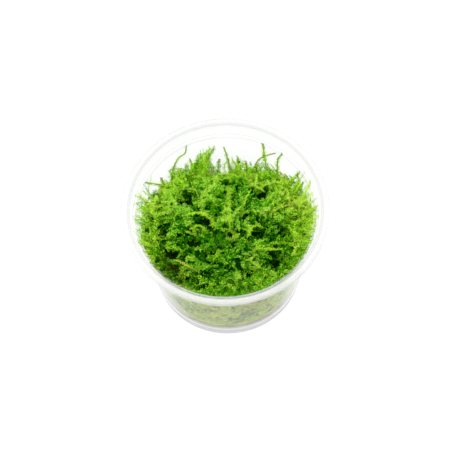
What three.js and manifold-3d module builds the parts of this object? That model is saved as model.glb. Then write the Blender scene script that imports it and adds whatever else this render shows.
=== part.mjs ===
// A cup of tissue-cultured Christmas moss: a milky open cup, a thin disc of culture gel, the grown-together
// moss cushion and the long leafy shoots that stand clear of it. Millimetres, +Z up, origin under the cup's middle.
import * as THREE from 'three';
import { mergeVertices } from 'three/addons/utils/BufferGeometryUtils.js';
import Module from 'manifold-3d';

const wasm = await Module();
wasm.setup();

// Driving dimensions of the cup
const CUP_HEIGHT = 68;
const FLANGE_RADIUS = 50;
const FOOT_RADIUS = 37;
const WALL_TOP_RADIUS = 43.2;
const WALL_THICKNESS = 0.6;
const LEDGE_HEIGHT = 60;
const LEDGE_RADIUS = 43.8;
const MOUTH_RADIUS = 46.1;
const FLOOR_UNDERSIDE = 3.2;
const FLOOR_THICKNESS = 1;
const FLANGE_THICKNESS = 1.1;
const SKIRT_DEPTH = 2.4;
const GROOVE_DEPTH = 0.6;
const CUP_SEGMENTS = 40;

// Driving dimensions of what the cup holds
const GAP = 0.3;
const GEL_DEPTH = 7;
const GEL_SEGMENTS = 26;
const CUSHION_SEGMENTS = 34;
const CUSHION_TOP = 54;
const CUSHION_BACK_DROP = 30;
const CUSHION_EDGE_RISE = 2;
const CUSHION_WALL_GAP = 0.6;
const CUSHION_SHOULDER_RADIUS = 41;
const SHOOT_THICKNESS = 0.7;
const STEM_HALF_WIDTH = 0.45;
const SPRIG_COUNT = 44;
const SPRIG_LENGTH = 12.5;
const SPRIG_REACH = 3.6;
const SPRIG_SPREAD = 39;

const FLOOR_TOP = FLOOR_UNDERSIDE + FLOOR_THICKNESS;
const GEL_TOP = FLOOR_TOP + GAP + GEL_DEPTH;
const CUSHION_BOTTOM = GEL_TOP + GAP;

// Colours of the photo
const MILKY = new THREE.MeshStandardMaterial({
  color: 0xf2f4f6, roughness: 0.35, metalness: 0, transparent: true, opacity: 0.4,
});
const GEL = new THREE.MeshStandardMaterial({
  color: 0xe9e6c8, roughness: 0.25, metalness: 0, transparent: true, opacity: 0.6,
});
const DEEP_GREEN = new THREE.MeshStandardMaterial({ color: 0x3f8a17, roughness: 0.65, metalness: 0 });
const FRESH_GREEN = new THREE.MeshStandardMaterial({ color: 0x6cb423, roughness: 0.6, metalness: 0 });
const LIME = new THREE.MeshStandardMaterial({ color: 0xa6d145, roughness: 0.6, metalness: 0 });
const OLIVE = new THREE.MeshStandardMaterial({ color: 0x8c8f2d, roughness: 0.7, metalness: 0 });

const part = new THREE.Group();

// Adds one named sub-part to the group
function add(name, geometry, material) {
  geometry.computeVertexNormals();
  const mesh = new THREE.Mesh(geometry, material);
  mesh.name = name;
  part.add(mesh);
}

// A closed solid for joining and cutting, from a geometry with its vertices merged
function toSolid(geometry) {
  const plain = geometry.clone();
  plain.deleteAttribute('normal');
  plain.deleteAttribute('uv');
  const merged = mergeVertices(plain, 1e-5);
  return new wasm.Manifold(new wasm.Mesh({
    numProp: 3,
    vertProperties: new Float32Array(merged.attributes.position.array),
    triVerts: new Uint32Array(merged.index.array),
  }));
}

// The geometry of a joined or cut solid
function fromSolid(solid) {
  const mesh = solid.getMesh();
  const geometry = new THREE.BufferGeometry();
  geometry.setAttribute('position', new THREE.BufferAttribute(new Float32Array(mesh.vertProperties), 3));
  geometry.setIndex(new THREE.BufferAttribute(new Uint32Array(mesh.triVerts), 1));
  return geometry;
}

// A body of revolution about Z from [radius, height] points
function revolve(profile, segments) {
  const points = profile.map(([radius, height]) => new THREE.Vector2(radius, height));
  const geometry = new THREE.LatheGeometry(points, segments);
  geometry.rotateX(Math.PI / 2);
  geometry.deleteAttribute('normal');
  geometry.deleteAttribute('uv');
  return mergeVertices(geometry, 1e-5);
}

function smoothstep(low, high, value) {
  const t = Math.min(Math.max((value - low) / (high - low), 0), 1);
  return t * t * (3 - 2 * t);
}

// The inner wall's radius at a height between the floor and the ledge
function innerRadius(height) {
  const share = (height - FLOOR_TOP) / (LEDGE_HEIGHT - FLOOR_TOP);
  const low = FOOT_RADIUS + 0.3 - WALL_THICKNESS;
  const high = WALL_TOP_RADIUS - WALL_THICKNESS;
  return low + (high - low) * share;
}

// Cup: foot ring, raised floor, flared wall, inner ledge and grooved flange with its skirt, as one turned profile
function cupGeometry() {
  const footInner = FOOT_RADIUS - 1.8;
  const rimTop = CUP_HEIGHT - 0.2;
  const grooveFloor = CUP_HEIGHT - GROOVE_DEPTH;
  const profile = [
    [0, FLOOR_UNDERSIDE],
    [footInner - 0.4, FLOOR_UNDERSIDE],
    [footInner, 0],
    [FOOT_RADIUS, 0],
    [WALL_TOP_RADIUS, LEDGE_HEIGHT - WALL_THICKNESS],
    [LEDGE_RADIUS + 0.9, LEDGE_HEIGHT - 0.2],
    [MOUTH_RADIUS + 0.9, grooveFloor - FLANGE_THICKNESS],
    [FLANGE_RADIUS - 0.9, grooveFloor - FLANGE_THICKNESS],
    [FLANGE_RADIUS - 0.8, rimTop - SKIRT_DEPTH],
    [FLANGE_RADIUS - 0.1, rimTop - SKIRT_DEPTH],
    [FLANGE_RADIUS, rimTop - 0.4],
    [FLANGE_RADIUS - 0.6, rimTop],
    [FLANGE_RADIUS - 1.1, grooveFloor],
    [MOUTH_RADIUS + 1.4, grooveFloor],
    [MOUTH_RADIUS + 0.8, CUP_HEIGHT],
    [MOUTH_RADIUS, CUP_HEIGHT],
    [LEDGE_RADIUS, LEDGE_HEIGHT + 0.5],
    [innerRadius(LEDGE_HEIGHT), LEDGE_HEIGHT],
    [innerRadius(FLOOR_TOP + 1), FLOOR_TOP + 1],
    [innerRadius(FLOOR_TOP) - 1, FLOOR_TOP],
    [0, FLOOR_TOP],
  ];
  return revolve(profile, CUP_SEGMENTS);
}

// Culture gel: a thin disc with a slightly raised edge where it creeps up the wall
function gelGeometry() {
  const bottom = FLOOR_TOP + GAP;
  const profile = [
    [0, bottom],
    [innerRadius(bottom) - 1.6, bottom],
    [innerRadius(bottom + 1.2) - 0.5, bottom + 1.2],
    [innerRadius(GEL_TOP) - 0.5, GEL_TOP],
    [innerRadius(GEL_TOP) - 3, GEL_TOP - 0.6],
    [0, GEL_TOP - 0.6],
  ];
  return revolve(profile, GEL_SEGMENTS);
}

// Hollows between the shoots: [x, y, depth, radius]
const HOLLOWS = [
  [-17.8, 12.5, 7, 4],
  [-9.3, 0.5, 7, 4.5],
  [2.3, -6.5, 6, 3],
  [16.8, 14, 7, 4],
  [15, -6, 8, 4.5],
  [20.2, -18, 6, 3.5],
  [23.2, -23.5, 6, 3.5],
  [10, -29, 5, 3.5],
  [28.2, -8, 5, 3],
  [-30.3, -4, 5, 4],
  [-15.7, -10.5, 5, 3.5],
  [-26, -18, 4, 3.5],
  [-12.7, -28, 5, 2.5],
  [-7, -16, 4, 3],
  [-40, 19, 8, 4],
  [-37, 13.5, 7, 3.5],
  [-41, 4, 9, 3.5],
  [-38.7, -3, 8, 3.5],
  [38.5, 14, 10, 5],
  [-35, 25, 14, 8],
  [36, 24, 10, 7],
];

// Height of the cushion's surface, with its lumps and hollows and its back sloping down to the wall
function cushionHeight(x, y) {
  const radius = Math.hypot(x, y);
  let height = CUSHION_TOP;
  height -= CUSHION_BACK_DROP * smoothstep(20, 42, y);
  height += CUSHION_EDGE_RISE * smoothstep(28, 41, radius);
  height += 1.5 * Math.sin(0.31 * x + 1.1) * Math.cos(0.27 * y - 0.4);
  height += 0.9 * Math.sin(0.55 * y + 0.42 * x);
  for (const [hollowX, hollowY, depth, spread] of HOLLOWS) {
    const distance = Math.hypot(x - hollowX, y - hollowY) / spread;
    height -= depth * Math.exp(-distance * distance);
  }
  return height;
}

// The tangle without its sprigs: a turned blank whose vertices are moved to the lumpy surface and, below its
// shoulder, to the wall
function cushionBlank() {
  const sideShares = [0.04, 0.25, 0.45, 0.65, 0.82];
  const ringRadii = [CUSHION_SHOULDER_RADIUS, 38, 34, 29.5, 25, 20, 15, 10, 5];
  const depth = CUSHION_TOP - CUSHION_BOTTOM;
  const profile = [[0, CUSHION_BOTTOM], [innerRadius(CUSHION_BOTTOM) - 2.2, CUSHION_BOTTOM]];
  for (const share of sideShares) {
    profile.push([CUSHION_SHOULDER_RADIUS, CUSHION_BOTTOM + share * depth]);
  }
  for (const radius of ringRadii) {
    profile.push([radius, CUSHION_TOP]);
  }
  profile.push([0, CUSHION_TOP]);
  const geometry = revolve(profile, CUSHION_SEGMENTS);
  const position = geometry.attributes.position;
  for (let i = 0; i < position.count; i += 1) {
    const x = position.getX(i);
    const y = position.getY(i);
    const share = (position.getZ(i) - CUSHION_BOTTOM) / depth;
    if (share > 0.99) {
      const height = cushionHeight(x, y);
      const limit = innerRadius(height) - CUSHION_WALL_GAP;
      const scale = Math.min(1, limit / Math.max(Math.hypot(x, y), 1));
      position.setXYZ(i, x * scale, y * scale, height);
    } else if (share > 0.01) {
      const height = CUSHION_BOTTOM + share * (cushionHeight(x, y) - CUSHION_BOTTOM);
      const angle = Math.atan2(y, x);
      const dent = 0.6 + 0.6 * Math.sin(5 * angle + 0.21 * height) * Math.cos(3 * angle - 0.33 * height);
      const scale = (innerRadius(height) - CUSHION_WALL_GAP - dent) / CUSHION_SHOULDER_RADIUS;
      position.setXYZ(i, x * scale, y * scale, height);
    }
  }
  return geometry;
}

// Maps [across, along, out] to the place beside a curve whose flat side faces the given way
function frameAlong(points, face) {
  const curve = new THREE.CatmullRomCurve3(points.map((point) => new THREE.Vector3(...point)));
  const length = curve.getLength();
  const outward = new THREE.Vector3(...face);
  const place = (across, along, out) => {
    const share = Math.min(Math.max(along / length, 0), 1);
    const tangent = curve.getTangentAt(share);
    const sideways = new THREE.Vector3().crossVectors(tangent, outward).normalize();
    const normal = new THREE.Vector3().crossVectors(sideways, tangent);
    const spot = curve.getPointAt(share);
    spot.addScaledVector(tangent, along - share * length);
    spot.addScaledVector(sideways, across);
    spot.addScaledVector(normal, out);
    return spot;
  };
  return { length, place };
}

// A flat closed strip along the frame: rows of [along, half width], a pointed end at the last place, and for each
// stretch between two rows a pair of pointed side branches, given as [across, along] to the right and to the left
function stripGeometry(frame, thickness, rows, end, branches) {
  const vertices = [];
  const faces = [];
  const vertex = (across, along, out) => {
    vertices.push(...frame.place(across, along, out).toArray());
    return vertices.length / 3 - 1;
  };
  const close = (corners, tip) => {
    corners.forEach((corner, i) => faces.push(corner, corners[(i + 1) % 4], tip));
  };
  const quad = (a, b, c, d) => faces.push(a, b, c, a, c, d);
  const half = thickness / 2;
  const rings = rows.map(([along, width]) => [
    vertex(width, along, half), vertex(-width, along, half),
    vertex(-width, along, -half), vertex(width, along, -half),
  ]);
  quad(...rings[0]);
  rings.slice(1).forEach((next, i) => {
    const ring = rings[i];
    const rightSide = [ring[0], ring[3], next[3], next[0]];
    const leftSide = [ring[1], next[1], next[2], ring[2]];
    quad(ring[0], next[0], next[1], ring[1]);
    quad(ring[3], ring[2], next[2], next[3]);
    if (branches[i]) {
      const [right, left] = branches[i];
      close(rightSide, vertex(right[0], right[1], 0));
      close(leftSide, vertex(-left[0], left[1], 0));
    } else {
      quad(...rightSide);
      quad(...leftSide);
    }
  });
  close([...rings[rings.length - 1]].reverse(), vertex(0, end, 0));
  const geometry = new THREE.BufferGeometry();
  geometry.setAttribute('position', new THREE.Float32BufferAttribute(vertices, 3));
  geometry.setIndex(faces);
  return geometry;
}

// Half the width of a shoot's side branches at a share of its length: short at the foot, widest low down
function branchReach(share, reach) {
  return reach * (0.45 + 0.55 * smoothstep(0.1, 0.35, share)) * (1 - 0.7 * smoothstep(0.5, 1, share));
}

// The places of a shoot's rows along its length: the foot, then one for each pair of branches and one past them
function rowPlaces(length, pairs) {
  const pitch = length / (pairs + 1.4);
  return [0, ...Array.from({ length: pairs + 1 }, (_, i) => (i + 0.6) * pitch)];
}

// A leafy shoot: a stem with pairs of side branches that point forward, like a small fir tree
function shootGeometry({ points, face, reach, pairs, stem = STEM_HALF_WIDTH }) {
  const frame = frameAlong(points, face);
  const places = rowPlaces(frame.length, pairs);
  const pitch = places[2] - places[1];
  const rows = places.map((along) => [along, stem * (1 - 0.5 * along / frame.length)]);
  const branches = [null];
  for (const along of places.slice(1, -1)) {
    const width = Math.max(branchReach(along / frame.length, reach), stem + 0.1);
    branches.push([[width, along + 0.6 * pitch + 0.3 * width], [0.9 * width, along + 0.95 * pitch + 0.3 * width]]);
  }
  return stripGeometry(frame, SHOOT_THICKNESS, rows, frame.length, branches);
}

// The room that a shoot needs, with the gap all round, to cut its pocket in the cushion
function pocketSolid({ points, face, reach, pairs }) {
  const frame = frameAlong(points, face);
  const places = rowPlaces(frame.length, pairs);
  const rows = places.map((along) => [along, Math.max(branchReach(along / frame.length, reach), 0.6) + GAP]);
  rows[0] = [-GAP, STEM_HALF_WIDTH + GAP];
  rows.push([frame.length + GAP, 0.4 * reach + GAP]);
  return toSolid(stripGeometry(frame, SHOOT_THICKNESS + 2 * GAP, rows, frame.length + 2 * GAP, []));
}

const TO_FRONT = [0, -1, 0.4];
const UP = [0, 0, 1];
const TO_LEFT = [-1, 0, 0.3];

// The shoots that stand clear of the cushion, each from its foot in the tangle to its tip
const SHOOTS = [
  // Along the back, rising towards the rim
  { name: 'tall_back_shoot', colour: LIME, face: TO_FRONT, reach: 1.3, pairs: 7,
    points: [[21.5, 24, 42], [21.1, 28.5, 54], [19.9, 36.2, 64.2]] },
  { name: 'crossing_stem', colour: OLIVE, face: TO_FRONT, reach: 0.6, pairs: 4, stem: 0.35,
    points: [[14, 27.5, 42], [17, 32.3, 52.5], [21.5, 32.8, 57.2], [26, 32.8, 59.6]] },
  { name: 'hooked_shoot', colour: LIME, face: TO_FRONT, reach: 1.1, pairs: 6,
    points: [[26, 22, 42], [26.6, 26, 52], [27, 29, 59], [29.3, 31, 62.4]] },
  { name: 'left_peak_shoot', colour: FRESH_GREEN, face: TO_FRONT, reach: 2.2, pairs: 7,
    points: [[-14, 27, 41], [-10, 32, 52.5], [-3.8, 36.6, 62.2]] },
  { name: 'middle_peak_shoot', colour: FRESH_GREEN, face: TO_FRONT, reach: 1.3, pairs: 5,
    points: [[-4, 26, 41], [-2.6, 30, 50], [-1.6, 32.8, 56.5]] },
  { name: 'slender_back_shoot', colour: LIME, face: TO_FRONT, reach: 1, pairs: 6,
    points: [[4, 25, 42], [3.2, 30.6, 53], [0.9, 35.8, 63]] },
  { name: 'short_back_shoot_left', colour: FRESH_GREEN, face: TO_FRONT, reach: 1.4, pairs: 4,
    points: [[7.5, 26, 41], [7.8, 30.5, 50], [7.6, 33, 55.5]] },
  { name: 'short_back_shoot_middle', colour: LIME, face: TO_FRONT, reach: 1.3, pairs: 4,
    points: [[11.3, 24, 42], [11.6, 28.6, 50], [11.3, 31.4, 55]] },
  { name: 'short_back_shoot_right', colour: FRESH_GREEN, face: TO_FRONT, reach: 1.3, pairs: 4,
    points: [[15.8, 22.5, 43], [16.4, 26, 50], [16.2, 28.3, 54.5]] },
  // The arch of thin stems at the back left, and the shoots beside it
  { name: 'left_arch_stem', colour: OLIVE, face: TO_FRONT, reach: 0.8, pairs: 7, stem: 0.35,
    points: [[-25.6, 27.5, 41], [-25, 30.6, 50], [-22, 34, 56.8], [-18.4, 35.6, 59], [-17.4, 37.4, 63.5]] },
  { name: 'left_arch_prop', colour: OLIVE, face: TO_FRONT, reach: 0.7, pairs: 4, stem: 0.35,
    points: [[-17, 27.5, 41], [-15.6, 32.6, 51], [-16.3, 34, 56.6]] },
  { name: 'short_left_back_shoot', colour: FRESH_GREEN, face: TO_FRONT, reach: 1.5, pairs: 4,
    points: [[-20.4, 23.5, 42], [-20.9, 27.8, 50], [-21, 30.2, 54.3]] },
  { name: 'left_corner_shoot', colour: FRESH_GREEN, face: TO_FRONT, reach: 1.3, pairs: 4,
    points: [[-28.5, 20.5, 43], [-29.8, 23.5, 50], [-30.6, 25, 54.5]] },
  { name: 'left_reaching_shoot', colour: LIME, face: TO_FRONT, reach: 1.1, pairs: 6,
    points: [[-23.5, 19.5, 45], [-30.5, 20, 56], [-38.2, 19.2, 61.8]] },
  // Left edge
  { name: 'left_edge_shoot_back', colour: LIME, face: UP, reach: 1.5, pairs: 5,
    points: [[-29.5, 11.5, 48], [-35, 12.8, 56], [-39.6, 14.6, 61.8]] },
  { name: 'left_edge_shoot_middle', colour: FRESH_GREEN, face: UP, reach: 1.5, pairs: 5,
    points: [[-32, 3.6, 48], [-36.6, 5, 56], [-40.8, 7, 62]] },
  { name: 'left_edge_shoot_front', colour: FRESH_GREEN, face: UP, reach: 1.4, pairs: 5,
    points: [[-34, -1.6, 48], [-38.2, -0.6, 56.5], [-41.8, 1, 62.2]] },
  { name: 'left_low_shoot', colour: FRESH_GREEN, face: TO_LEFT, reach: 1.3, pairs: 4,
    points: [[-34, -11.5, 47], [-36.4, -8.6, 56], [-36.4, -5.4, 60.5]] },
  // Right edge: tufts at the back, pale spikes at the wall, bright tufts in front
  { name: 'right_tuft_shoot_back', colour: LIME, face: TO_FRONT, reach: 1.6, pairs: 6,
    points: [[26, 13.5, 46], [31.2, 17, 56], [37, 20.2, 62]] },
  { name: 'right_tuft_shoot_middle', colour: FRESH_GREEN, face: TO_FRONT, reach: 1.6, pairs: 5,
    points: [[30.5, 9, 46], [34.4, 11.6, 56], [38.5, 14.6, 61.6]] },
  { name: 'right_tuft_shoot_inner', colour: LIME, face: TO_FRONT, reach: 1.5, pairs: 5,
    points: [[24, 8.6, 48], [26.6, 13.2, 57], [29, 18, 61.8]] },
  { name: 'right_spike_inner', colour: LIME, face: [1, -0.5, 0], reach: 1, pairs: 5,
    points: [[34.4, -4, 48], [35.6, 0.4, 57], [36.2, 4.4, 63]] },
  { name: 'right_spike_middle', colour: LIME, face: [1, -0.3, 0], reach: 0.9, pairs: 6,
    points: [[37.6, -7, 47], [39.2, -1, 57], [41.4, 5.4, 64]] },
  { name: 'right_spike_front', colour: LIME, face: [1, 0, 0], reach: 0.9, pairs: 6,
    points: [[38, -13, 47], [39.8, -8.4, 56], [42, -2.6, 63.2]] },
  { name: 'right_bright_shoot_back', colour: LIME, face: UP, reach: 1.8, pairs: 5,
    points: [[31.5, -13.5, 48], [35.4, -14.6, 57], [39, -16, 61.8]] },
  { name: 'right_bright_shoot_front', colour: LIME, face: UP, reach: 1.8, pairs: 5,
    points: [[27.5, -19.8, 48], [31.4, -21.4, 57], [34.4, -23.2, 61.2]] },
  // Across the middle
  { name: 'claw_shoot_upper', colour: LIME, face: UP, reach: 1.5, pairs: 6,
    points: [[-3.6, -3.4, 51], [-8, -0.4, 59.4], [-13.3, 1.6, 61.2], [-20.5, 0.9, 60]] },
  { name: 'claw_shoot_lower', colour: LIME, face: UP, reach: 1.2, pairs: 4,
    points: [[-8, -6.2, 50.5], [-12.6, -4.6, 59.2], [-17.6, -6.6, 60.2]] },
  { name: 'pale_centre_shoot', colour: LIME, face: UP, reach: 2, pairs: 9,
    points: [[1.8, 21, 49], [2.1, 15.5, 57.6], [2.1, 4, 61.2], [1.8, -7.5, 60]] },
  { name: 'centre_right_shoot', colour: LIME, face: UP, reach: 1.5, pairs: 4,
    points: [[7, 2.5, 49.5], [9, 6.4, 58.6], [13, 12.4, 61.6]] },
  { name: 'right_arc_shoot', colour: LIME, face: UP, reach: 1.3, pairs: 4,
    points: [[17.8, -2.8, 48], [15.2, -5.6, 59], [11.6, -9, 61.4], [9.6, -12.8, 60]] },
  { name: 'bright_front_shoot', colour: LIME, face: UP, reach: 1.9, pairs: 5,
    points: [[11, -16.4, 51], [15, -17.8, 59], [20.1, -20, 61.4], [25.4, -19.6, 60]] },
  { name: 'orange_tinged_shoot', colour: OLIVE, face: UP, reach: 1.6, pairs: 5,
    points: [[19.8, 3.4, 50], [24.6, 3, 58], [30.6, 3.4, 61]] },
  { name: 'middle_left_shoot', colour: FRESH_GREEN, face: UP, reach: 1.8, pairs: 5,
    points: [[-19.5, 14.6, 45.5], [-23.6, 15, 56.5], [-28.6, 15.8, 60]] },
  { name: 'front_left_shoot', colour: FRESH_GREEN, face: UP, reach: 1.7, pairs: 5,
    points: [[-19.5, -16.4, 50], [-24, -15.6, 58], [-29.4, -15.6, 60]] },
  { name: 'bare_yellow_stem', colour: OLIVE, face: UP, reach: 0.5, pairs: 3, stem: 0.35,
    points: [[-28, -20.6, 50.5], [-25, -22, 58.8], [-20.7, -24.7, 59.8], [-15.6, -26.4, 56]] },
  { name: 'middle_front_shoot', colour: FRESH_GREEN, face: UP, reach: 1.8, pairs: 5,
    points: [[-2.6, -14.4, 50], [-4.4, -18.6, 58.6], [-6.8, -23.6, 60.4]] },
  { name: 'front_edge_shoot_left', colour: FRESH_GREEN, face: UP, reach: 1.6, pairs: 4,
    points: [[-11, -28.6, 48], [-12.6, -32, 56], [-14.2, -35.6, 59.4]] },
  { name: 'front_edge_shoot_middle', colour: FRESH_GREEN, face: UP, reach: 1.6, pairs: 4,
    points: [[2.6, -29, 48], [3.2, -33, 56], [4, -37.6, 59.2]] },
  { name: 'front_edge_shoot_right', colour: LIME, face: UP, reach: 1.6, pairs: 4,
    points: [[18.6, -28.4, 47], [20.8, -31, 56], [22.8, -33.4, 59]] },
];

// A short shoot fused to the cushion, at its place in an even spiral and leaning the way of one of its turns,
// more upright towards the back
function sprigSpec(index, turn) {
  const goldenAngle = Math.PI * (3 - Math.sqrt(5));
  const distance = SPRIG_SPREAD * Math.sqrt((index + 0.5) / SPRIG_COUNT);
  const angle = index * goldenAngle;
  const footX = distance * Math.cos(angle);
  const footY = distance * Math.sin(angle);
  const heading = angle + 1.2 * Math.sin(2.3 * index) + 2.1 * turn;
  const ground = cushionHeight(footX, footY);
  const upright = smoothstep(12, 30, footY);
  const points = [[-0.05, -2], [0.4, 2.4], [0.76, 4.4]].map(([run, rise]) => [
    footX + Math.cos(heading) * run * SPRIG_LENGTH * (1 - 0.65 * upright),
    footY + Math.sin(heading) * run * SPRIG_LENGTH * (1 - 0.65 * upright),
    ground + rise * (1 + 0.8 * upright),
  ]);
  return { points, face: UP, reach: SPRIG_REACH, pairs: 3 };
}

// True if a shape keeps clear of the wall
function insideWall(geometry) {
  const position = geometry.attributes.position;
  for (let i = 0; i < position.count; i += 1) {
    const limit = innerRadius(position.getZ(i)) - CUSHION_WALL_GAP;
    if (Math.hypot(position.getX(i), position.getY(i)) > limit) {
      return false;
    }
  }
  return true;
}

// Moss cushion: the blank with its sprigs joined on and a pocket cut for the foot of every long shoot
function cushionGeometry() {
  const pockets = SHOOTS.map(pocketSolid);
  let cushion = toSolid(cushionBlank());
  for (let index = 0; index < SPRIG_COUNT; index += 1) {
    for (let turn = 0; turn < 3; turn += 1) {
      const geometry = shootGeometry(sprigSpec(index, turn));
      const sprig = toSolid(geometry);
      if (insideWall(geometry) && pockets.every((pocket) => pocket.intersect(sprig).isEmpty())) {
        cushion = cushion.add(sprig);
        break;
      }
    }
  }
  for (const pocket of pockets) {
    cushion = cushion.subtract(pocket);
  }
  return fromSolid(cushion);
}

add('cup', cupGeometry(), MILKY);
add('culture_gel', gelGeometry(), GEL);
add('moss_cushion', cushionGeometry(), DEEP_GREEN);
for (const shoot of SHOOTS) {
  add(shoot.name, shootGeometry(shoot), shoot.colour);
}

export default part;
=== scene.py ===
"""A milky cup of tissue-cultured Christmas moss: cup, gel, leafy moss cushion and long shoots."""
import math

import bpy
import numpy as np
from mathutils import Matrix, Vector


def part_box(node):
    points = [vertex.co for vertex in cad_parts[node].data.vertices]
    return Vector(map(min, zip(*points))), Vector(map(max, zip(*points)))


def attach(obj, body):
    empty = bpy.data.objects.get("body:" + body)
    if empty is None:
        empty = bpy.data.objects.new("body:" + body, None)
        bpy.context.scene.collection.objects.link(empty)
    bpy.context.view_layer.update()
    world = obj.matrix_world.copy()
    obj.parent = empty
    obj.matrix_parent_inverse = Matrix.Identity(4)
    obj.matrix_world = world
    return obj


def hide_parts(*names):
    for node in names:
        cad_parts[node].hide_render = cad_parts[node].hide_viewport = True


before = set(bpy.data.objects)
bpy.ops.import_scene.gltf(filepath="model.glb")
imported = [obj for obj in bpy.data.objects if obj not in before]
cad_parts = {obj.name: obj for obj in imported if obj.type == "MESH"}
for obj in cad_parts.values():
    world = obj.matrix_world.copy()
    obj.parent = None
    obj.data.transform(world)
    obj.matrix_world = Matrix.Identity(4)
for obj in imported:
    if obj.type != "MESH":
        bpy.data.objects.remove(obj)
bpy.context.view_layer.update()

MM = 0.001
SEED = 21
UP = np.array((0.0, 0.0, 1.0))

# The cup's driving dimensions, in millimetres, as in the frame
CUP_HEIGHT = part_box("cup")[1].z / MM
FLANGE_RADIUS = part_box("cup")[1].x / MM
FOOT_RADIUS = 37.0
FLOOR_RADIUS = FOOT_RADIUS + 0.3
WALL_TOP_RADIUS = 43.2
WALL_THICKNESS = 0.6
LEDGE_HEIGHT = 60.0
LEDGE_RADIUS = 43.8
MOUTH_RADIUS = 46.1
FLOOR_UNDERSIDE = 3.2
FLOOR_THICKNESS = 1.0
FLANGE_THICKNESS = 1.1
SKIRT_DEPTH = 2.4
GROOVE_DEPTH = 0.6
FLOOR_TOP = FLOOR_UNDERSIDE + FLOOR_THICKNESS
GEL_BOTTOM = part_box("culture_gel")[0].z / MM
GEL_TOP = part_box("culture_gel")[1].z / MM

# The cushion's driving dimensions
CUSHION_TOP = 54.0
CUSHION_BACK_DROP = 30.0
CUSHION_EDGE_RISE = 2.0
CUSHION_RADIUS = 42
WALL_LAYER_RADIUS = 40
WALL_LAYER_HEIGHT = 42
CUSHION_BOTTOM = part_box("moss_cushion")[0].z / MM

# The photograph's camera, in millimetres and degrees
CAMERA_ELEVATION = 64.0
CAMERA_ROLL = 3.0
CAMERA_DISTANCE = 750.0
CAMERA_AIM = (-0.07, -9.65, CUP_HEIGHT)
CAMERA_FOCAL_PIXELS = 1578.0
PHOTO_PIXELS = 452.0
SENSOR_WIDTH = 36.0
PIXEL_FILTER = 1.1


def smoothstep(low, high, value):
    """0 below low, 1 above high and a smooth rise between them."""
    t = np.clip((np.asarray(value, float) - low) / (high - low), 0, 1)
    return t * t * (3 - 2 * t)


def inner_radius(height):
    """The cup's inner wall at a height between the floor and the ledge."""
    share = (np.asarray(height, float) - FLOOR_TOP) / (LEDGE_HEIGHT - FLOOR_TOP)
    low = FLOOR_RADIUS - WALL_THICKNESS
    return low + (WALL_TOP_RADIUS - WALL_THICKNESS - low) * share


# Hollows between the shoots: x, y, depth, radius
HOLLOWS = (
    (-17.8, 12.5, 7, 4), (-9.3, 0.5, 7, 4.5), (2.3, -6.5, 6, 3), (16.8, 14, 7, 4),
    (15, -6, 8, 4.5), (20.2, -18, 6, 3.5), (23.2, -23.5, 6, 3.5), (10, -29, 5, 3.5),
    (28.2, -8, 5, 3), (-30.3, -4, 5, 4), (-15.7, -10.5, 5, 3.5), (-26, -18, 4, 3.5),
    (-12.7, -28, 5, 2.5), (-7, -16, 4, 3), (-40, 19, 8, 4), (-37, 13.5, 7, 3.5),
    (-41, 4, 9, 3.5), (-38.7, -3, 8, 3.5), (38.5, 14, 10, 5), (-35, 25, 14, 8),
    (36, 24, 10, 7),
)


def cushion_height(x, y):
    """Height of the cushion's surface, with its lumps and hollows."""
    x, y = np.asarray(x, float), np.asarray(y, float)
    height = CUSHION_TOP - CUSHION_BACK_DROP * smoothstep(20, CUSHION_RADIUS, y)
    height += CUSHION_EDGE_RISE * smoothstep(28, 41, np.hypot(x, y))
    height += 1.5 * np.sin(0.31 * x + 1.1) * np.cos(0.27 * y - 0.4)
    height += 0.9 * np.sin(0.55 * y + 0.42 * x)
    return height - hollow_depth(x, y)


def hollow_depth(x, y):
    """How deep the hollows are at a place."""
    depth = 0.0
    for hollow_x, hollow_y, deep, spread in HOLLOWS:
        depth += deep * np.exp(-((x - hollow_x) ** 2 + (y - hollow_y) ** 2) / spread**2)
    return depth


def placed(name, data):
    """A new object in the scene."""
    piece = bpy.data.objects.new(name, data)
    bpy.context.scene.collection.objects.link(piece)
    return piece


def linked(name, vertices, faces):
    """A new object with a mesh of its own."""
    mesh = bpy.data.meshes.new(name)
    mesh.from_pydata(vertices, [], faces)
    mesh.update()
    return placed(name, mesh)


# Materials

def new_material(name):
    material = bpy.data.materials.new(name)
    material.use_nodes = True
    material.node_tree.nodes.clear()
    return material, material.node_tree


def add_node(tree, kind, inputs=None, **settings):
    """A node with the given settings and inputs; an input is a value or another node's output."""
    node = tree.nodes.new(kind)
    for key, value in settings.items():
        setattr(node, key, value)
    for key, value in (inputs or {}).items():
        if isinstance(value, bpy.types.NodeSocket):
            tree.links.new(value, node.inputs[key])
        else:
            node.inputs[key].default_value = value
    return node


def finished(material, shader):
    """The material with the shader joined to its output."""
    add_node(material.node_tree, "ShaderNodeOutputMaterial", {"Surface": shader})
    return material


def colour_ramp(tree, source, stops):
    ramp = add_node(tree, "ShaderNodeValToRGB", {"Fac": source})
    elements = ramp.color_ramp.elements
    for element, (place, colour) in zip(elements, (stops[0], stops[-1])):
        element.position = place
        element.color = (*colour, 1)
    for place, colour in stops[1:-1]:
        elements.new(place).color = (*colour, 1)
    return ramp.outputs["Color"]


def map_range(tree, source, low, high, to_low, to_high, kind="SMOOTHSTEP"):
    limits = {"Value": source, "From Min": low, "From Max": high, "To Min": to_low, "To Max": to_high}
    return add_node(tree, "ShaderNodeMapRange", limits, interpolation_type=kind).outputs["Result"]


def add_math(tree, operation, first, second):
    return add_node(tree, "ShaderNodeMath", {0: first, 1: second}, operation=operation).outputs["Value"]


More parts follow.
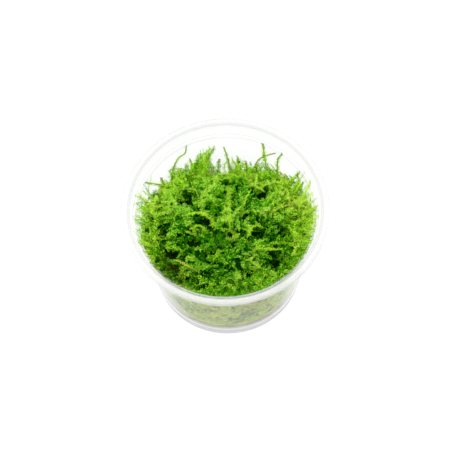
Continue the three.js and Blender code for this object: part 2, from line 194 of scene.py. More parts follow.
# The leaves' palette: shade runs along the map, and across it emerald turns to lime, then to brown
PALETTE_MAP = "OFBake"
LIME_PLACE = 0.3
EMERALDS = (
    (0.0, (0.001, 0.012, 0.0002)),
    (0.2, (0.003, 0.085, 0.001)),
    (0.45, (0.018, 0.31, 0.001)),
    (0.65, (0.075, 0.55, 0.003)),
    (0.85, (0.29, 0.8, 0.02)),
    (1.0, (0.62, 0.95, 0.14)),
)
LIMES = (
    (0.0, (0.001, 0.015, 0.0001)),
    (0.2, (0.006, 0.085, 0.0003)),
    (0.45, (0.045, 0.32, 0.001)),
    (0.65, (0.16, 0.6, 0.001)),
    (0.85, (0.42, 0.89, 0.01)),
    (1.0, (0.74, 0.98, 0.1)),
)
BROWNS = (
    (0.0, (0.012, 0.012, 0.002)),
    (0.35, (0.08, 0.06, 0.006)),
    (0.65, (0.32, 0.24, 0.02)),
    (1.0, (0.72, 0.62, 0.12)),
)

# Painted light: leaves behind the wall are lightened by the light through the milky wall: the colour they
# turn to, and how much dark, light and brown ones do
WALL_LIGHT_COLOUR = (0.83, 1.0, 0.2)
DARK_TURNS = 0.5
LIGHT_TURNS_MORE = 0.8
BROWN_TURNS = 0.6


def lightened(stops, share):
    """A colour ramp's stops mixed with the colour of the painted light through the wall, the light ones
    more than the dark ones.
    """
    mixed = []
    for place, colour in stops:
        film = share * (DARK_TURNS + LIGHT_TURNS_MORE * place)
        mixed.append((place, tuple((1 - film) * own + film * pale for own, pale in zip(colour, WALL_LIGHT_COLOUR))))
    return mixed


def moss_material(name, gloss, wall_light=0.0):
    """Leaves take their colour from the palette map."""
    material, tree = new_material(name)
    place = add_node(tree, "ShaderNodeUVMap", uv_map=PALETTE_MAP)
    split = add_node(tree, "ShaderNodeSeparateXYZ", {"Vector": place.outputs["UV"]})
    shade, hue = split.outputs["X"], split.outputs["Y"]
    colour = colour_ramp(tree, shade, lightened(EMERALDS, wall_light))
    limes = lightened(LIMES, wall_light)
    browns = lightened(BROWNS, BROWN_TURNS * wall_light)
    for stops, low, high in ((limes, 0.0, LIME_PLACE), (browns, LIME_PLACE, 1.0)):
        share = map_range(tree, hue, low, high, 0.0, 1.0, "LINEAR")
        mixed = {"Factor": share, "A": colour, "B": colour_ramp(tree, shade, stops)}
        colour = add_node(tree, "ShaderNodeMix", mixed, data_type="RGBA").outputs["Result"]
    leaf = {"Base Color": colour, "Roughness": 0.45, "Specular IOR Level": gloss}
    return finished(material, add_node(tree, "ShaderNodeBsdfPrincipled", leaf).outputs["BSDF"])


# Milky plastic by height: millimetres, grey of the milk, share of milk in what the wall shows
# Painted shade: the grey band at the foot and the grey line at the ledge's corner; the whiter band above
# the foot is milkier plastic and partly a painted highlight
MILK_LEVELS = (
    (0.0, 0.48, 0.62),
    (5.6, 0.52, 0.62),
    (6.8, 0.88, 0.62),
    (8.6, 0.88, 0.5),
    (10.5, 0.9, 0.14),
    (52.0, 0.9, 0.12),
    (59.8, 0.7, 0.12),
    (60.0, 0.34, 0.34),
    (60.5, 0.34, 0.34),
    (60.8, 0.95, 0.12),
    (65.2, 0.95, 0.12),
    (65.5, 0.61, 0.12),
    (68.0, 0.61, 0.12),
)

# The grey line at the mouth's edge, painted shade for its dark refraction line, and the whiter flange
# outside it: metres from the axis, and shares
MOUTH_LINE_START = (0.0456, 0.046)
FLANGE_START = (0.0469, 0.0473)
MOUTH_LINE_MILK = 0.13
MOUTH_LINE_SHADE = 0.65
FLANGE_MILK = 0.38
SLANT_MILK = 0.4


def cup_material():
    """Milky polypropylene: nearly clear in the thin wall, whiter in the flange and foot and at a slant."""
    material, tree = new_material("milky_plastic")
    place = add_node(tree, "ShaderNodeTexCoord").outputs["Object"]
    split = add_node(tree, "ShaderNodeSeparateXYZ", {"Vector": place})
    level = map_range(tree, split.outputs["Z"], 0.0, CUP_HEIGHT * MM, 0.0, 1.0, "LINEAR")
    grey, share = (colour_ramp(tree, level, [(row[0] / CUP_HEIGHT, (row[k],) * 3) for row in MILK_LEVELS])
                   for k in (1, 2))
    flat = add_node(tree, "ShaderNodeVectorMath", {0: place, 1: (1, 1, 0)}, operation="MULTIPLY")
    length = add_node(tree, "ShaderNodeVectorMath", {0: flat.outputs["Vector"]}, operation="LENGTH")
    radius = length.outputs["Value"]
    flange = map_range(tree, radius, *FLANGE_START, 0.0, FLANGE_MILK)
    outside_mouth = map_range(tree, radius, *MOUTH_LINE_START, 0.0, FLANGE_MILK)
    mouth_edge = add_math(tree, "SUBTRACT", outside_mouth, flange)
    line_shade = map_range(tree, mouth_edge, 0.0, FLANGE_MILK, 1.0, MOUTH_LINE_SHADE)
    line_milk = map_range(tree, mouth_edge, 0.0, FLANGE_MILK, 0.0, MOUTH_LINE_MILK)
    toned = add_node(tree, "ShaderNodeVectorMath", {0: grey, "Scale": line_shade}, operation="SCALE")
    slant = add_node(tree, "ShaderNodeLayerWeight", {"Blend": 0.5})
    edge = map_range(tree, slant.outputs["Facing"], 0.8, 1.0, 0.0, SLANT_MILK)
    raised = add_math(tree, "ADD", flange, line_milk)
    milkiness = add_math(tree, "ADD", add_math(tree, "ADD", share, raised), edge)
    plastic = {"Base Color": toned.outputs["Vector"], "Roughness": 0.35, "IOR": 1.49}
    milk = add_node(tree, "ShaderNodeBsdfPrincipled", plastic)
    clear = add_node(tree, "ShaderNodeBsdfTransparent", {"Color": (0.985, 0.988, 0.985, 1)})
    shares = {"Fac": milkiness, 1: clear.outputs["BSDF"], 2: milk.outputs["BSDF"]}
    return finished(material, add_node(tree, "ShaderNodeMixShader", shares).outputs["Shader"])


def gel_material():
    """Pale culture gel, cloudy with greenish and yellowish streaks."""
    material, tree = new_material("pale_gel")
    place = add_node(tree, "ShaderNodeTexCoord").outputs["Object"]
    grain = {"Vector": place, "Scale": 140.0, "Detail": 3.0, "Distortion": 0.8}
    cloud = add_node(tree, "ShaderNodeTexNoise", grain)
    colour = colour_ramp(tree, cloud.outputs["Fac"], (
        (0.34, (0.3, 0.36, 0.06)),
        (0.5, (0.5, 0.56, 0.14)),
        (0.6, (0.72, 0.7, 0.3)),
        (0.7, (0.92, 0.88, 0.62)),
    ))
    jelly = {"Base Color": colour, "Roughness": 0.15, "IOR": 1.34, "Transmission Weight": 0.15}
    return finished(material, add_node(tree, "ShaderNodeBsdfPrincipled", jelly).outputs["BSDF"])


# Cup and gel

def revolve(name, profile, segments, material):
    """A smooth closed body of revolution from radius and height points whose ends lie on the axis."""
    angles = np.arange(segments) * 2 * math.pi / segments
    ring = np.stack([np.cos(angles), np.sin(angles)], 1)
    inner = profile[1:-1]
    vertices = [(0, 0, profile[0][1] * MM)]
    for radius, height in inner:
        vertices += [(x * radius * MM, y * radius * MM, height * MM) for x, y in ring]
    vertices.append((0, 0, profile[-1][1] * MM))
    last = len(vertices) - 1
    faces = []
    for j in range(segments):
        k = (j + 1) % segments
        faces.append((0, 1 + k, 1 + j))
        for i in range(len(inner) - 1):
            a, b = 1 + i * segments, 1 + (i + 1) * segments
            faces.append((a + j, a + k, b + k, b + j))
        top = 1 + (len(inner) - 1) * segments
        faces.append((last, top + j, top + k))
    piece = linked(name, vertices, faces)
    piece.data.shade_smooth()
    piece.data.materials.append(material)
    return piece


def rounded(profile, radius, steps=4):
    """The profile with its inner corners rounded."""
    points = [np.array(p, float) for p in profile]
    smooth = [points[0]]
    for before, corner, after in zip(points, points[1:], points[2:]):
        to_before, to_after = before - corner, after - corner
        reach = min(radius, 0.45 * np.linalg.norm(to_before), 0.45 * np.linalg.norm(to_after))
        start = corner + to_before / np.linalg.norm(to_before) * reach
        end = corner + to_after / np.linalg.norm(to_after) * reach
        for i in range(steps + 1):
            t = i / steps
            smooth.append((1 - t) ** 2 * start + 2 * t * (1 - t) * corner + t * t * end)
    smooth.append(points[-1])
    return [tuple(p) for p in smooth]


def make_cup():
    """The cup from one profile: floor, foot ring, wall, ledge, mouth and grooved flange with its skirt."""
    foot_inner = FOOT_RADIUS - 1.8
    rim_top = CUP_HEIGHT - 0.2
    groove_floor = CUP_HEIGHT - GROOVE_DEPTH
    profile = [
        (0, FLOOR_UNDERSIDE),
        (foot_inner - 0.4, FLOOR_UNDERSIDE),
        (foot_inner, 0),
        (FOOT_RADIUS, 0),
        (WALL_TOP_RADIUS, LEDGE_HEIGHT - WALL_THICKNESS),
        (LEDGE_RADIUS + 0.9, LEDGE_HEIGHT - 0.2),
        (MOUTH_RADIUS + 0.9, groove_floor - FLANGE_THICKNESS),
        (FLANGE_RADIUS - 0.9, groove_floor - FLANGE_THICKNESS),
        (FLANGE_RADIUS - 0.8, rim_top - SKIRT_DEPTH),
        (FLANGE_RADIUS - 0.1, rim_top - SKIRT_DEPTH),
        (FLANGE_RADIUS, rim_top - 0.4),
        (FLANGE_RADIUS - 0.6, rim_top),
        (FLANGE_RADIUS - 1.1, groove_floor),
        (MOUTH_RADIUS + 1.4, groove_floor),
        (MOUTH_RADIUS + 0.8, CUP_HEIGHT),
        (MOUTH_RADIUS, CUP_HEIGHT),
        (LEDGE_RADIUS, LEDGE_HEIGHT + 0.5),
        (inner_radius(LEDGE_HEIGHT), LEDGE_HEIGHT),
        (inner_radius(FLOOR_TOP + 1), FLOOR_TOP + 1),
        (inner_radius(FLOOR_TOP) - 1, FLOOR_TOP),
        (0, FLOOR_TOP),
    ]
    cup = revolve("cup_shell", rounded(profile, 0.25), 160, cup_material())
    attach(cup, "root")
    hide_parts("cup")


def make_gel():
    """The low disc of gel on the cup's floor, with a rim that creeps up the wall."""
    profile = [
        (0, GEL_BOTTOM),
        (inner_radius(GEL_BOTTOM) - 1.6, GEL_BOTTOM),
        (inner_radius(GEL_BOTTOM + 1.2) - 0.5, GEL_BOTTOM + 1.2),
        (inner_radius(GEL_TOP) - 0.5, GEL_TOP),
        (inner_radius(GEL_TOP) - 3, GEL_TOP - 0.6),
        (0, GEL_TOP - 0.6),
    ]
    gel = revolve("gel_disc", rounded(profile, 0.5), 96, gel_material())
    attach(gel, "root")
    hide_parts("culture_gel")


# Leafy shoots, in millimetres and degrees

LEAF_LENGTH = 1.35
LEAF_WIDTH = 0.55
LEAF_PITCH = 0.78
LEAF_LEAN = 58
STEM_RADIUS = 0.13
STEM_TIP = 0.45
THICK_STEM = 2
THICK_STEM_TIP = 0.8
WALL_CLEARANCE = 0.15
UV_STEP = 0.006

# A leaf's base, two edges and tip: how they differ in shade and browning, and its four faces
# Painted shade and highlight: the base darker where it is hidden near the stem, the tip lighter
LEAF_CORNERS = ((-0.22, 0), (-0.05, 0.01), (0.02, 0.01), (0.22, 0.02))
LEAF_FACES = (0, 1, 2, 2, 1, 3, 1, 0, 3, 0, 2, 3)

# Rows of leaves: side or back, and shares of lean, length and distance to the next leaf
LEAF_ROWS = ((1, 1.0, 1.0, 0), (-1, 1.0, 1.0, 0.5), (0, 0.65, 0.8, 0.25))


def curve_through(points, count):
    """Points on a smooth curve through a few given ones."""
    points = np.asarray(points, float)
    padded = np.vstack([2 * points[0] - points[1], points, 2 * points[-1] - points[-2]])
    spans = len(points) - 1
    t = np.linspace(0, spans, count)
    i = np.minimum(t.astype(int), spans - 1)
    f = (t - i)[:, None]
    p0, p1, p2, p3 = padded[i], padded[i + 1], padded[i + 2], padded[i + 3]
    return 0.5 * (2 * p1 + (p2 - p0) * f + (2 * p0 - 5 * p1 + 4 * p2 - p3) * f**2
                  + (3 * p1 - p0 - 3 * p2 + p3) * f**3)


def measured(path):
    """The lengths along a path to its points, and its slope at them."""
    steps = np.linalg.norm(np.diff(path, axis=0), axis=1)
    along = np.concatenate([[0], np.cumsum(steps)])
    return along, np.gradient(path, along, axis=0)


def unit(vectors):
    return vectors / np.maximum(np.linalg.norm(vectors, axis=-1, keepdims=True), 1e-9)


def directions_at(places, along, path, slope, face):
    """A shoot's point, tangent, side and back at lengths along it; its flat side looks to face."""
    at = np.stack([np.interp(places, along, path[:, k]) for k in range(3)], -1)
    tangent = unit(np.stack([np.interp(places, along, slope[:, k]) for k in range(3)], -1))
    sideways = unit(np.cross(tangent, face))
    return at, tangent, sideways, np.cross(sideways, tangent)


def wall_radius(height):
    """The cup's inside at a height, also above the ledge."""
    slope = (MOUTH_RADIUS - LEDGE_RADIUS) / (CUP_HEIGHT - LEDGE_HEIGHT - 0.5)
    above_ledge = LEDGE_RADIUS + slope * (height - LEDGE_HEIGHT - 0.5)
    below_ledge = inner_radius(np.minimum(height, LEDGE_HEIGHT))
    return np.where(height < LEDGE_HEIGHT + 0.6, below_ledge, above_ledge)


def pressed_inside(vertices):
    """Leaves that would reach through the wall or the ledge lie flat against its inside."""
    height = np.maximum(vertices[:, 2], CUSHION_BOTTOM + WALL_CLEARANCE)
    limit = wall_radius(height) - WALL_CLEARANCE
    scale = np.minimum(1, limit / np.maximum(np.hypot(vertices[:, 0], vertices[:, 1]), 1))
    return np.stack([vertices[:, 0] * scale, vertices[:, 1] * scale, height], 1)


class Leafage:
    """Collects stems and leaves, varied by its own random numbers, and makes one mesh of them."""

    def __init__(self, seed, painted_depth_shade=0.0):
        self.rng = np.random.default_rng(SEED + seed)
        self.painted_depth_shade = painted_depth_shade
        self.vertices = []
        self.faces = []
        self.places = []
        self.count = 0

    def add(self, vertices, faces, places):
        self.vertices.append(vertices)
        self.faces.append(faces + self.count)
        self.places.append(places)
        self.count += len(vertices)

    def stem(self, path, radius, shade, brown, tip):
        """A three-sided stem, tapered to a share of its radius and closed at both ends."""
        tangent = unit(np.gradient(path, axis=0))
        side = unit(np.cross(tangent, UP + 0.01))
        other = np.cross(side, tangent)
        count = len(path)
        taper = radius * np.linspace(1, tip, count)[:, None]
        rings = [path + taper * (math.cos(a) * side + math.sin(a) * other) for a in (0.5, 2.6, 4.7)]
        vertices = np.stack(rings, 1).reshape(-1, 3)
        i = np.arange(count - 1)[:, None] * 3
        walls = []
        for a in range(3):
            b = (a + 1) % 3
            walls.append(np.hstack([i + a, i + b, i + 3 + b]))
            walls.append(np.hstack([i + a, i + 3 + b, i + 3 + a]))
        last = 3 * (count - 1)
        faces = np.vstack([*walls, [[0, 2, 1]], [[last, last + 1, last + 2]]])
        step = np.tile([0, UV_STEP, 2 * UV_STEP], count)
        along = np.repeat(np.linspace(0, 4 * UV_STEP, count), 3)
        self.add(vertices, faces, np.stack([shade + step, brown + along], 1))

    def leaves(self, base, forward, across, out, length, width, shade, brown):
        """Closed boat-shaped leaves: a base, two raised edges and a pointed tip each."""
        length, width = length[:, None], width[:, None]
        middle = base + 0.42 * length * forward + 0.13 * length * out
        corners = np.stack([
            base,
            middle + 0.5 * width * across,
            middle - 0.5 * width * across,
            base + length * forward - 0.04 * length * out,
        ], 1)
        start = 4 * np.arange(len(base))[:, None]
        faces = (start + np.array(LEAF_FACES)).reshape(-1, 3)
        places = np.stack([shade, brown], 1)[:, None] + np.array(LEAF_CORNERS)
        self.add(corners.reshape(-1, 3), faces, places.reshape(-1, 2))

    def shoot(self, path, face, shade, brown=0.0, size=1.0, leaf=1.0, bare=0.0, tip_glow=0.16,
              pitch=LEAF_PITCH, tip_brown=0.0, lean=LEAF_LEAN, stem_brown=0.12):
        """A stem with leaves in two flat rows and a third row on its back, from foot to tip."""
        rng = self.rng
        along, slope = measured(path)
        total = along[-1]
        self.stem(path, STEM_RADIUS * size, max(shade - 0.1, 0.05), min(brown + stem_brown, 1),
                  STEM_TIP if size < THICK_STEM else THICK_STEM_TIP)
        places = np.arange(bare * total + 0.3, total, pitch)
        if not len(places):
            return
        share = places / total
        at, tangent, sideways, normal = directions_at(places, along, path, slope, face)
        count = len(places)
        taper = leaf * (1 - 0.5 * smoothstep(0.7, 1, share)) * (0.75 + 0.25 * smoothstep(0, 0.25, share))
        browned = tip_brown * smoothstep(0.8, 1, share)
        # Paler new growth and painted light: lighter towards the tip, and painted shade darker at the foot
        # in the tangle
        glow = tip_glow * (smoothstep(0.25, 1, share) - 0.4)
        closed = 1 - 0.45 * smoothstep(0.75, 1, share)
        for side, row_lean, row_length, shift in LEAF_ROWS:
            angle = np.radians(row_lean * lean * closed + rng.normal(0, 9, count))
            sway = rng.normal(0, 0.22, count)
            if side:
                away = side * sideways + (sway + 0.12)[:, None] * normal
            else:
                away = normal + 1.6 * sway[:, None] * sideways
            away = unit(away)
            forward = unit(np.cos(angle)[:, None] * tangent + np.sin(angle)[:, None] * away)
            across = unit(np.cross(forward, normal if side else sideways))
            out = np.cross(across, forward)
            base = at + shift * pitch * tangent + 0.5 * STEM_RADIUS * size * away
            length = LEAF_LENGTH * row_length * taper * rng.uniform(0.8, 1.15, count)
            width = LEAF_WIDTH * leaf * rng.uniform(0.8, 1.15, count)
            tone = shade + glow + rng.normal(0, 0.22, count) - 0.3 * browned
            # Painted shade: leaves deeper under the cushion's surface darker and those standing out of it
            # lighter, partly as paler new growth
            if self.painted_depth_shade:
                above = base[:, 2] - cushion_height(base[:, 0], base[:, 1])
                tone += self.painted_depth_shade * np.clip(above / 4, -1.5, 1)
            self.leaves(base, forward, across, out, length, width, np.clip(tone, 0.02, 0.97),
                        np.clip(brown + browned + rng.normal(0, 0.05, count), -0.95, 0.95))

    def frond(self, path, face, shade, brown=0.0, branch=3.5, gap=2.2, leaf=0.9, start=0.15, **options):
        """A shoot with alternating side shoots that shorten towards the tip, like a small fir tree."""
        rng = self.rng
        self.shoot(path, face, shade, brown, leaf=leaf, **options)
        along, slope = measured(path)
        total = along[-1]
        t = np.linspace(0, 1, 4)[:, None]
        side = 1 if rng.random() < 0.5 else -1
        for place in np.arange(start * total, total * 0.93, gap):
            share = place / total
            at, tangent, sideways, normal = directions_at(place, along, path, slope, face)
            reach = branch * (1 - 0.75 * share) * rng.uniform(0.7, 1.2)
            heading = unit(tangent * math.cos(0.9) + side * sideways * math.sin(0.9)
                           + normal * rng.normal(0.08, 0.15))
            bend = reach * 0.25 * tangent
            twig = at + t * reach * heading + t**2 * bend
            self.shoot(twig, face, shade + 0.05 + rng.normal(0, 0.03), brown, size=0.7, leaf=0.85 * leaf,
                       tip_glow=0.2)
            side = -side

    def make(self, name, material):
        """One object of all that was collected, with the palette map."""
        vertices = pressed_inside(np.concatenate(self.vertices)) * MM
        faces = np.concatenate(self.faces)
        mesh = bpy.data.meshes.new(name)
        mesh.vertices.add(len(vertices))
        mesh.vertices.foreach_set("co", vertices.astype(np.float32).ravel())
        mesh.loops.add(faces.size)
        mesh.loops.foreach_set("vertex_index", faces.astype(np.int32).ravel())
        mesh.polygons.add(len(faces))
        mesh.polygons.foreach_set("loop_start", np.arange(0, faces.size, 3, dtype=np.int32))
        mesh.update(calc_edges=True)
        mesh.validate()
        layer = mesh.uv_layers.new(name=PALETTE_MAP)
        places = np.clip(np.concatenate(self.places), (0, -1), 1)
        room = np.where(places[:, 1] > 0, 1 - LIME_PLACE, LIME_PLACE)
        places[:, 1] = LIME_PLACE + room * places[:, 1]
        layer.uv.foreach_set("vector", places[faces.ravel()].astype(np.float32).ravel())
        mesh.materials.append(material)
        return placed(name, mesh)


# The long shoots, as in the frame: points from foot to tip, way the flat side faces, reach, shade, browning
TO_FRONT = (0, -1, 0.4)
TO_UP = (0, 0, 1)
TO_LEFT = (-1, 0, 0.3)
LONG_SHOOTS = {
    "tall_back_shoot": (((21.5, 24, 42), (21.1, 28.5, 54), (19.9, 36.2, 64.2)), TO_FRONT, 1.3, 0.82, 0.0),
    "crossing_stem": (((14, 27.5, 42), (17, 32.3, 52.5), (21.5, 32.8, 57.2), (26, 32.8, 59.6)),
        TO_FRONT, 0.6, 0.7, 0.5),
    "hooked_shoot": (((26, 22, 42), (26.6, 26, 52), (27, 29, 59), (29.3, 31, 62.4)),
        TO_FRONT, 1.1, 0.8, 0.0),
    "left_peak_shoot": (((-14, 27, 41), (-10, 32, 52.5), (-3.8, 36.6, 62.2)), TO_FRONT, 2.2, 0.74, 0.0),
    "middle_peak_shoot": (((-4, 26, 41), (-2.6, 30, 50), (-1.6, 32.8, 56.5)), TO_FRONT, 1.3, 0.74, 0.0),
    "slender_back_shoot": (((4, 25, 42), (3.2, 30.6, 53), (0.9, 35.8, 63)), TO_FRONT, 1.0, 0.8, 0.05),
    "short_back_shoot_left": (((7.5, 26, 41), (7.8, 30.5, 50), (7.6, 33, 55.5)), TO_FRONT, 1.4, 0.72, 0.0),
    "short_back_shoot_middle": (((11.3, 24, 42), (11.6, 28.6, 50), (11.3, 31.4, 55)),
        TO_FRONT, 1.3, 0.78, 0.0),
    "short_back_shoot_right": (((15.8, 22.5, 43), (16.4, 26, 50), (16.2, 28.3, 54.5)),
        TO_FRONT, 1.3, 0.7, 0.0),
    "left_arch_stem": (((-25.6, 27.5, 41), (-25, 30.6, 50), (-22, 34, 56.8), (-18.4, 35.6, 59),
        (-17.4, 37.4, 63.5)), TO_FRONT, 0.8, 0.72, 0.35),
    "left_arch_prop": (((-17, 27.5, 41), (-15.6, 32.6, 51), (-16.3, 34, 56.6)), TO_FRONT, 0.7, 0.72, 0.3),
    "short_left_back_shoot": (((-20.4, 23.5, 42), (-20.9, 27.8, 50), (-21, 30.2, 54.3)),
        TO_FRONT, 1.5, 0.74, 0.0),
    "left_corner_shoot": (((-28.5, 20.5, 43), (-29.8, 23.5, 50), (-30.6, 25, 54.5)),
        TO_FRONT, 1.3, 0.74, 0.0),
    "left_reaching_shoot": (((-23.5, 19.5, 45), (-30.5, 20, 56), (-38.2, 19.2, 61.8)),
        TO_FRONT, 1.1, 0.8, 0.05),
    "left_edge_shoot_back": (((-29.5, 11.5, 48), (-35, 12.8, 56), (-39.6, 14.6, 61.8)),
        TO_UP, 1.5, 0.8, 0.0),
    "left_edge_shoot_middle": (((-32, 3.6, 48), (-36.6, 5, 56), (-40.8, 7, 62)), TO_UP, 1.5, 0.74, 0.0),
    "left_edge_shoot_front": (((-34, -1.6, 48), (-38.2, -0.6, 56.5), (-41.8, 1, 62.2)),
        TO_UP, 1.4, 0.74, 0.0),
    "left_low_shoot": (((-34, -11.5, 47), (-36.4, -8.6, 56), (-36.4, -5.4, 60.5)), TO_LEFT, 1.3, 0.76, 0.0),
    "right_tuft_shoot_back": (((26, 13.5, 46), (31.2, 17, 56), (37, 20.2, 62)), TO_FRONT, 1.6, 0.78, 0.0),
    "right_tuft_shoot_middle": (((30.5, 9, 46), (34.4, 11.6, 56), (38.5, 14.6, 61.6)),
        TO_FRONT, 1.6, 0.72, 0.0),
    "right_tuft_shoot_inner": (((24, 8.6, 48), (26.6, 13.2, 57), (29, 18, 61.8)), TO_FRONT, 1.5, 0.8, 0.0),
    "right_spike_inner": (((34.4, -4, 48), (35.6, 0.4, 57), (36.2, 4.4, 63)),
        (1, -0.5, 0), 1.0, 0.84, 0.05),
    "right_spike_middle": (((37.6, -7, 47), (39.2, -1, 57), (41.4, 5.4, 64)),
        (1, -0.3, 0), 0.9, 0.86, 0.05),
    "right_spike_front": (((38, -13, 47), (39.8, -8.4, 56), (42, -2.6, 63.2)), (1, 0, 0), 0.9, 0.86, 0.05),
    "right_bright_shoot_back": (((31.5, -13.5, 48), (35.4, -14.6, 57), (39, -16, 61.8)),
        TO_UP, 1.8, 0.84, 0.0),
    "right_bright_shoot_front": (((27.5, -19.8, 48), (31.4, -21.4, 57), (34.4, -23.2, 61.2)),
        TO_UP, 1.8, 0.84, 0.0),
    "claw_shoot_upper": (((-3.6, -3.4, 51), (-8, -0.4, 59.4), (-13.3, 1.6, 61.2), (-20.5, 0.9, 60)),
        TO_UP, 1.5, 0.9, 0.0),
    "claw_shoot_lower": (((-8, -6.2, 50.5), (-12.6, -4.6, 59.2), (-17.6, -6.6, 60.2)),
        TO_UP, 1.2, 0.88, 0.0),
    "pale_centre_shoot": (((1.8, 21, 49), (2.1, 15.5, 57.6), (2.1, 4, 61.2), (1.8, -7.5, 60)),
        TO_UP, 2.0, 0.86, 0.0),
    "centre_right_shoot": (((7, 2.5, 49.5), (9, 6.4, 58.6), (13, 12.4, 61.6)), TO_UP, 1.5, 0.84, 0.0),
    "right_arc_shoot": (((17.8, -2.8, 48), (15.2, -5.6, 59), (11.6, -9, 61.4), (9.6, -12.8, 60)),
        TO_UP, 1.3, 0.88, 0.0),
    "bright_front_shoot": (((11, -16.4, 51), (15, -17.8, 59), (20.1, -20, 61.4), (25.4, -19.6, 60)),
        TO_UP, 1.9, 0.88, 0.0),
    "orange_tinged_shoot": (((19.8, 3.4, 50), (24.6, 3, 58), (30.6, 3.4, 61)), TO_UP, 1.6, 0.8, 0.3),
    "middle_left_shoot": (((-19.5, 14.6, 45.5), (-23.6, 15, 56.5), (-28.6, 15.8, 60)),
        TO_UP, 1.8, 0.74, 0.0),
    "front_left_shoot": (((-19.5, -16.4, 50), (-24, -15.6, 58), (-29.4, -15.6, 60)), TO_UP, 1.7, 0.72, 0.0),
    "bare_yellow_stem": (((-28, -20.6, 50.5), (-25, -22, 58.8), (-20.7, -24.7, 59.8), (-15.6, -26.4, 56)),
        TO_UP, 0.5, 0.95, 0.6),
    "middle_front_shoot": (((-2.6, -14.4, 50), (-4.4, -18.6, 58.6), (-6.8, -23.6, 60.4)),
        TO_UP, 1.8, 0.74, 0.0),
    "front_edge_shoot_left": (((-11, -28.6, 48), (-12.6, -32, 56), (-14.2, -35.6, 59.4)),
        TO_UP, 1.6, 0.66, 0.0),
    "front_edge_shoot_middle": (((2.6, -29, 48), (3.2, -33, 56), (4, -37.6, 59.2)), TO_UP, 1.6, 0.66, 0.0),
    "front_edge_shoot_right": (((18.6, -28.4, 47), (20.8, -31, 56), (22.8, -33.4, 59)),
        TO_UP, 1.6, 0.8, 0.0),
}


def make_long_shoots(material):
    """Thin bent stems, tall single shoots and fir-tree fronds, by each one's reach and the way it faces."""
    for index, (node, (points, face, reach, shade, brown)) in enumerate(LONG_SHOOTS.items()):
        leafage = Leafage(index)
        path = curve_through(points, 16)
        at_back = face == TO_FRONT
        face = np.array(face, float)
        if reach < 0.9:
            leafage.shoot(path, face, shade + 0.02, brown, leaf=0.75, size=3.6 if at_back else 1.8,
                          bare=0.1, pitch=1.1, tip_brown=0.5, lean=55, stem_brown=0.1)
        elif at_back and reach < 1.5:
            leafage.shoot(path, face, shade - 0.08, brown + 0.15, leaf=0.95 * reach, size=3.2, pitch=0.85,
                          tip_brown=0.8, lean=50, stem_brown=0.3)
        elif at_back:
            leafage.frond(path, face, shade, brown + 0.05, branch=1.6 * reach, gap=1.1, leaf=1.05, size=2.4,
                          tip_brown=0.6, stem_brown=0.25, pitch=0.6)
        elif face[2] < 1:
            leafage.shoot(path, face, shade, brown + 0.05, leaf=0.8 * reach, size=1.7, pitch=0.5, lean=42)
        else:
            leafage.frond(path, face, shade, brown, branch=1.15 * reach, gap=1.35, leaf=0.72, size=1.3,
                          pitch=0.7)
        piece = leafage.make(node + "_leafy", material)
        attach(piece, "root")
        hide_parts(node)


# The moss cushion

def keep_inside(path):
    """Moves a path's points inside the wall and under the mouth."""
    path[:, 2] = np.clip(path[:, 2], CUSHION_BOTTOM + 0.6, CUP_HEIGHT - 2)
    radius = np.hypot(path[:, 0], path[:, 1])
    path[:, :2] *= np.minimum(1, (wall_radius(path[:, 2]) - 0.5) / np.maximum(radius, 1))[:, None]
    return path


def grown_path(rng, foot, heading, rise, length, droop, count=8):
    """A gently bending path from a foot, turning a little at random and drooping towards its tip."""
    t = np.linspace(0, 1, count)[:, None]
    level = np.array((math.cos(heading), math.sin(heading), 0))
    side = np.array((-math.sin(heading), math.cos(heading), 0))
    start = level * math.cos(rise) + UP * math.sin(rise)
    path = foot + length * (t * start - droop * t**2 * UP + 0.35 * droop * t**2 * level)
    return path + length * rng.normal(0, 0.12) * t**2 * side


